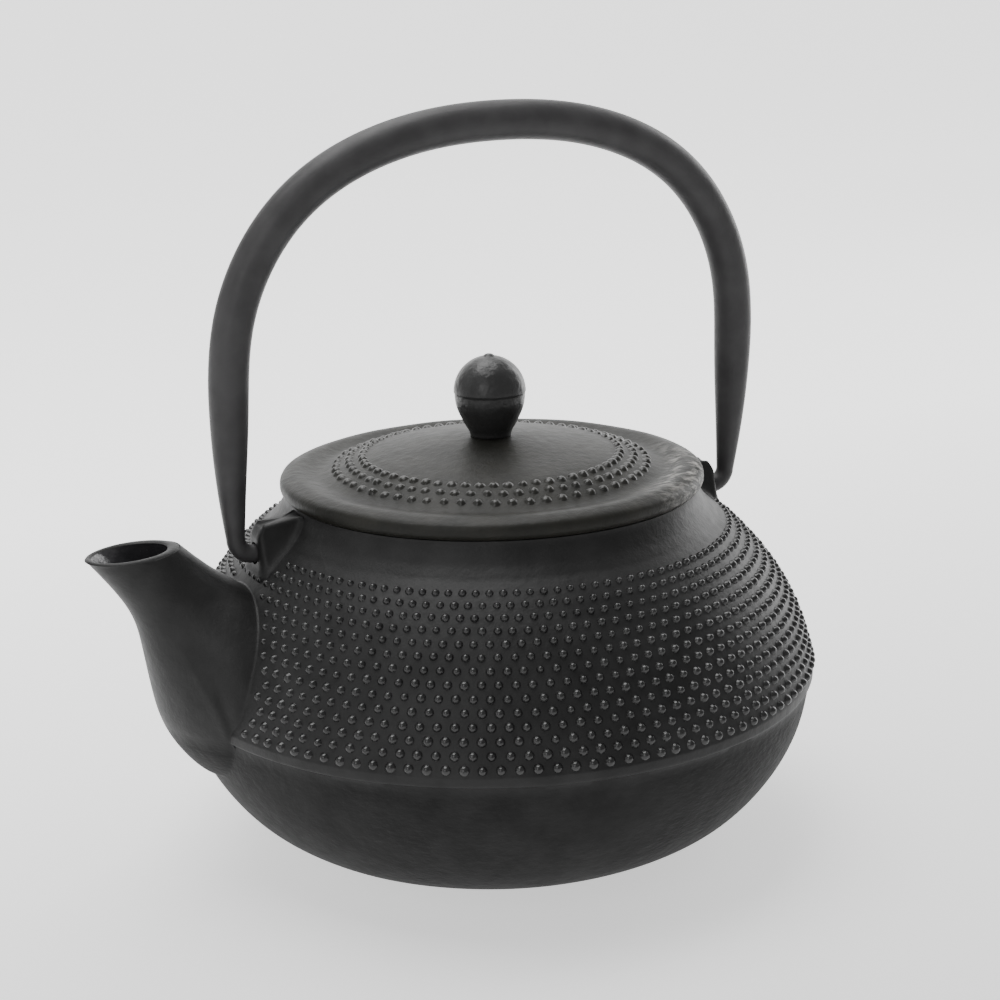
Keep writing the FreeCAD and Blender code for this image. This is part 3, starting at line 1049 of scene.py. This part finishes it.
def blend(tree, share, first, second):
    """A colour input's source mixed with a plain colour."""
    made = node(tree, "ShaderNodeMix", data_type="RGBA")
    tree.links.new(share, made.inputs[MIX_SHARE])
    tree.links.new(first, made.inputs[MIX_FIRST])
    made.inputs[MIX_SECOND].default_value = (*second, 1)
    return made.outputs[MIX_RESULT]


def iron_material(name, low, high, roughness, specular, grain, dents):
    """Black lacquered cast iron: slightly uneven colour and sheen over a fine casting grain."""
    material, tree, shader = new_material(name, high, roughness)
    shader.inputs["Specular IOR Level"].default_value = specular
    colour = ramp(tree, object_noise(tree, 0.12, 5), [(0.35, low), (0.65, high)])
    tree.links.new(colour, shader.inputs["Base Color"])
    sheen = to_range(tree, object_noise(tree, 0.35, 4), roughness - 0.07, roughness + 0.09)
    tree.links.new(sheen, shader.inputs["Roughness"])
    bump(tree, shader, object_noise(tree, 0.45, 3), dents)
    bump(tree, shader, object_noise(tree, 1.6, 6), grain)
    return material


def rough_base(material):
    """Leaves the plain lower bowl duller, with the coarse and streaky skin of the sand mould."""
    tree = material.node_tree
    shader = tree.nodes["Principled BSDF"]
    below = object_mask(tree, "Z", 44.0, 40.0)
    streaks = object_noise(tree, 0.6, 6, (0.7, 0.7, 1.3))
    patches = ramp(tree, object_noise(tree, 0.018, 2), [(0.4, grey(0.15)), (0.6, grey(1))])
    bump(tree, shader, product(tree, streaks, patches, below), 0.35)
    duller = node(tree, "ShaderNodeMath", operation="MULTIPLY_ADD")
    duller.inputs[1].default_value = 0.15
    tree.links.new(below, duller.inputs[0])
    tree.links.new(shader.inputs["Roughness"].links[0].from_socket, duller.inputs[2])
    tree.links.new(duller.outputs["Value"], shader.inputs["Roughness"])
    tree.links.new(to_range(tree, below, 0.22, 0.12), shader.inputs["Specular IOR Level"])
    return material


def rim_wear_and_painted_highlight(material):
    """Adds pale patches, with streaks in their surface, to the rim of the lid round the point (40,
    -28) mm. They are partly rubbed wear and partly a painted highlight.
    """
    tree = material.node_tree
    shader = tree.nodes["Principled BSDF"]
    patch_noise = object_noise(tree, 0.5, 8, (0.5, 1, 2))
    patches = ramp(tree, patch_noise, [(0.46, grey(0)), (0.66, grey(1))])
    rim = ring_mask(tree, (0, 0), 44.0, 48.0)
    # The patches are painted only round the point (40, -28) mm on the rim, where the rim's
    # highlight falls
    highlight_spot = ring_mask(tree, (40, -28), 30.0, 6.0)
    mask = product(tree, patches, rim, highlight_spot)
    source = shader.inputs["Base Color"].links[0].from_socket
    # Partly a painted highlight: the pale colour (0.30, 0.29, 0.27) is blended into the lid's own
    # colour under the mask
    tree.links.new(blend(tree, mask, source, (0.30, 0.29, 0.27)), shader.inputs["Base Color"])
    streaks = object_noise(tree, 1.1, 6, (0.3, 1.4, 1))
    bump(tree, shader, product(tree, streaks, mask), 0.35)
    return material


def steel_material(name, base, roughness):
    """Steel with fine streaks in its gloss and its surface."""
    material, tree, shader = new_material(name, base, roughness, 1.0)
    streaks = object_noise(tree, 1.2, 3, (1, 1, 0.08))
    sheen = to_range(tree, streaks, roughness - 0.08, roughness + 0.1)
    tree.links.new(sheen, shader.inputs["Roughness"])
    bump(tree, shader, streaks, 0.01)
    return material


OLIVE_LOW = (0.010, 0.010, 0.0082)
OLIVE_HIGH = (0.016, 0.0155, 0.0125)
POT_IRON = rough_base(iron_material(
    "pot_iron_lacquer", grey(0.011), grey(0.017), 0.47, 0.22, 0.05, 0.12))
NAIL_TIPS = iron_material("rubbed_nail_tips", grey(0.009), grey(0.015), 0.24, 0.5, 0.03, 0.06)
HANDLE_PAINT = iron_material(
    "handle_satin_paint", (0.036, 0.035, 0.036), (0.048, 0.047, 0.048), 0.44, 0.22, 0.02, 0.08)
RUBBED_DOTS = iron_material("rubbed_lid_dots", OLIVE_LOW, OLIVE_HIGH, 0.28, 0.45, 0.03, 0.06)
# The lid's rim carries pale patches that are partly wear and partly a painted highlight
LID_IRON = rim_wear_and_painted_highlight(iron_material("lid_olive_iron", OLIVE_LOW, OLIVE_HIGH, 0.46, 0.2, 0.06, 0.16))
KNOB_LACQUER = iron_material("knob_gloss_lacquer", grey(0.020), grey(0.028), 0.33, 0.35, 0.03, 0.3)
ENAMEL = iron_material(
    "black_enamel", (0.030, 0.030, 0.032), (0.042, 0.041, 0.044), 0.24, 0.5, 0.02, 0.3)
STAINLESS = steel_material("infuser_stainless", (0.60, 0.60, 0.59), 0.28)
RIVET_STEEL = steel_material("rivet_plain_steel", (0.42, 0.41, 0.40), 0.4)


# ---------------------------------------------------------------- pieces on their bodies

def show(piece, body, slot, *nodes):
    """Puts a piece on its body, in place of the solids of the given nodes; the slot is not used."""
    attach(piece, body)
    if nodes:
        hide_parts(*nodes)


pot_skin = Skin()
pot_shell(pot_skin)
spout(pot_skin)
lugs(pot_skin)
pot = pot_skin.make("pot_casting", [POT_IRON, ENAMEL])
sharpen(pot, 50)
show(pot, "pot", "pot_iron", "body_casting")
show(hobnails(NAIL_TIPS), "pot", "pot_iron")
show(handle(HANDLE_PAINT), "handle", "handle_paint", "bail_handle")
lid_piece = lid(LID_IRON)
sharpen(lid_piece, 60)
show(lid_piece, "lid", "lid_iron", "lid_casting")
show(lid_dots(RUBBED_DOTS), "lid", "lid_iron")
show(knob(KNOB_LACQUER), "knob", "knob_iron", "lid_knob")
show(rivet(RIVET_STEEL), "knob", "rivet_steel", "knob_rivet")
show(washer(RIVET_STEEL), "knob", "rivet_steel", "rivet_washer")
show(infuser_rim(STAINLESS), "infuser", "infuser_steel", "infuser_rim")
show(infuser_wall(STAINLESS), "infuser", "infuser_steel", "infuser_wall")
show(infuser_floor(STAINLESS), "infuser", "infuser_steel", "infuser_floor")
show(infuser_base_ring(STAINLESS), "infuser", "infuser_steel", "infuser_base_ring")


# ---------------------------------------------------------------- floor, light and camera

FLOOR_REACH = 9000.0
SWEEP_START_Y = 1200.0
SWEEP_R = 600.0
BACK_WALL_TOP = 3000.0


def floor():
    """A pale floor that curves up into a back wall and glows, more so towards the wall."""
    sweep = arc((SWEEP_START_Y, SWEEP_R), SWEEP_R, -90, 0, 12)
    line = [(-FLOOR_REACH, 0.0), *sweep, (SWEEP_START_Y + SWEEP_R, BACK_WALL_TOP)]
    skin = Skin()
    skin.grid([[(x, y, z) for y, z in line] for x in (FLOOR_REACH, -FLOOR_REACH)], closed=False)
    material, tree, shader = new_material("pale_floor", grey(0.55), 0.8)
    shader.inputs["Specular IOR Level"].default_value = 0.1
    shader.inputs["Emission Color"].default_value = (1, 1, 1, 1)
    brighter = product(tree, object_mask(tree, "Y", -350.0, 350.0),
                       object_mask(tree, "X", -900.0, -150.0))
    glow = to_range(tree, brighter, 0.35, 1.6)
    tree.links.new(glow, shader.inputs["Emission Strength"])
    skin.make("floor", [material])


def area_light(name, place, target, size, power):
    """A rectangular light, in mm and watts, that faces its target."""
    data = bpy.data.lights.new(name, "AREA")
    data.shape = "RECTANGLE"
    data.size, data.size_y = size[0] * MM, size[1] * MM
    data.energy = power
    light = bpy.data.objects.new(name, data)
    light.location = [c * MM for c in place]
    aim = Vector(target) - Vector(place)
    light.rotation_euler = aim.to_track_quat("-Z", "Y").to_euler()
    bpy.context.scene.collection.objects.link(light)


def world(strength):
    made = bpy.data.worlds.new("studio")
    made.use_nodes = True
    back = made.node_tree.nodes["Background"]
    back.inputs["Color"].default_value = (1, 1, 1, 1)
    back.inputs["Strength"].default_value = strength
    bpy.context.scene.world = made


CAMERA_PLACE = (-224.0, -481.9, 234.7)
CAMERA_AIM_Z = 88.5
CAMERA_ROLL = -1.36
CAMERA_PAN = -0.206
LENS = 77.04
SENSOR_WIDTH = 36


def camera():
    """The camera, aimed at the pot's axis and then turned by its pan and its roll in degrees."""
    data = bpy.data.cameras.new("camera")
    data.lens = LENS
    data.sensor_width = SENSOR_WIDTH
    data.dof.use_dof = False
    made = bpy.data.objects.new("camera", data)
    made.location = [c * MM for c in CAMERA_PLACE]
    aim = Vector((0, 0, CAMERA_AIM_Z)) - Vector(CAMERA_PLACE)
    turn = aim.to_track_quat("-Z", "Y").to_matrix()
    pan = Matrix.Rotation(math.radians(CAMERA_PAN), 3, "Y")
    roll = Matrix.Rotation(math.radians(CAMERA_ROLL), 3, "Z")
    made.rotation_euler = (turn @ pan @ roll).to_euler()
    bpy.context.scene.collection.objects.link(made)
    bpy.context.scene.camera = made


floor()
world(0.36)
area_light("key_above", (-100, 150, 1000), (0, 0, 60), (900, 700), 12)
area_light("left_panel", (-1100, 100, 350), (0, 0, 90), (500, 900), 1.5)
area_light("front_left", (-650, -600, 450), (0, 0, 80), (400, 600), 2)
area_light("right_panel", (1000, 300, 400), (0, 0, 90), (500, 900), 5)
camera()
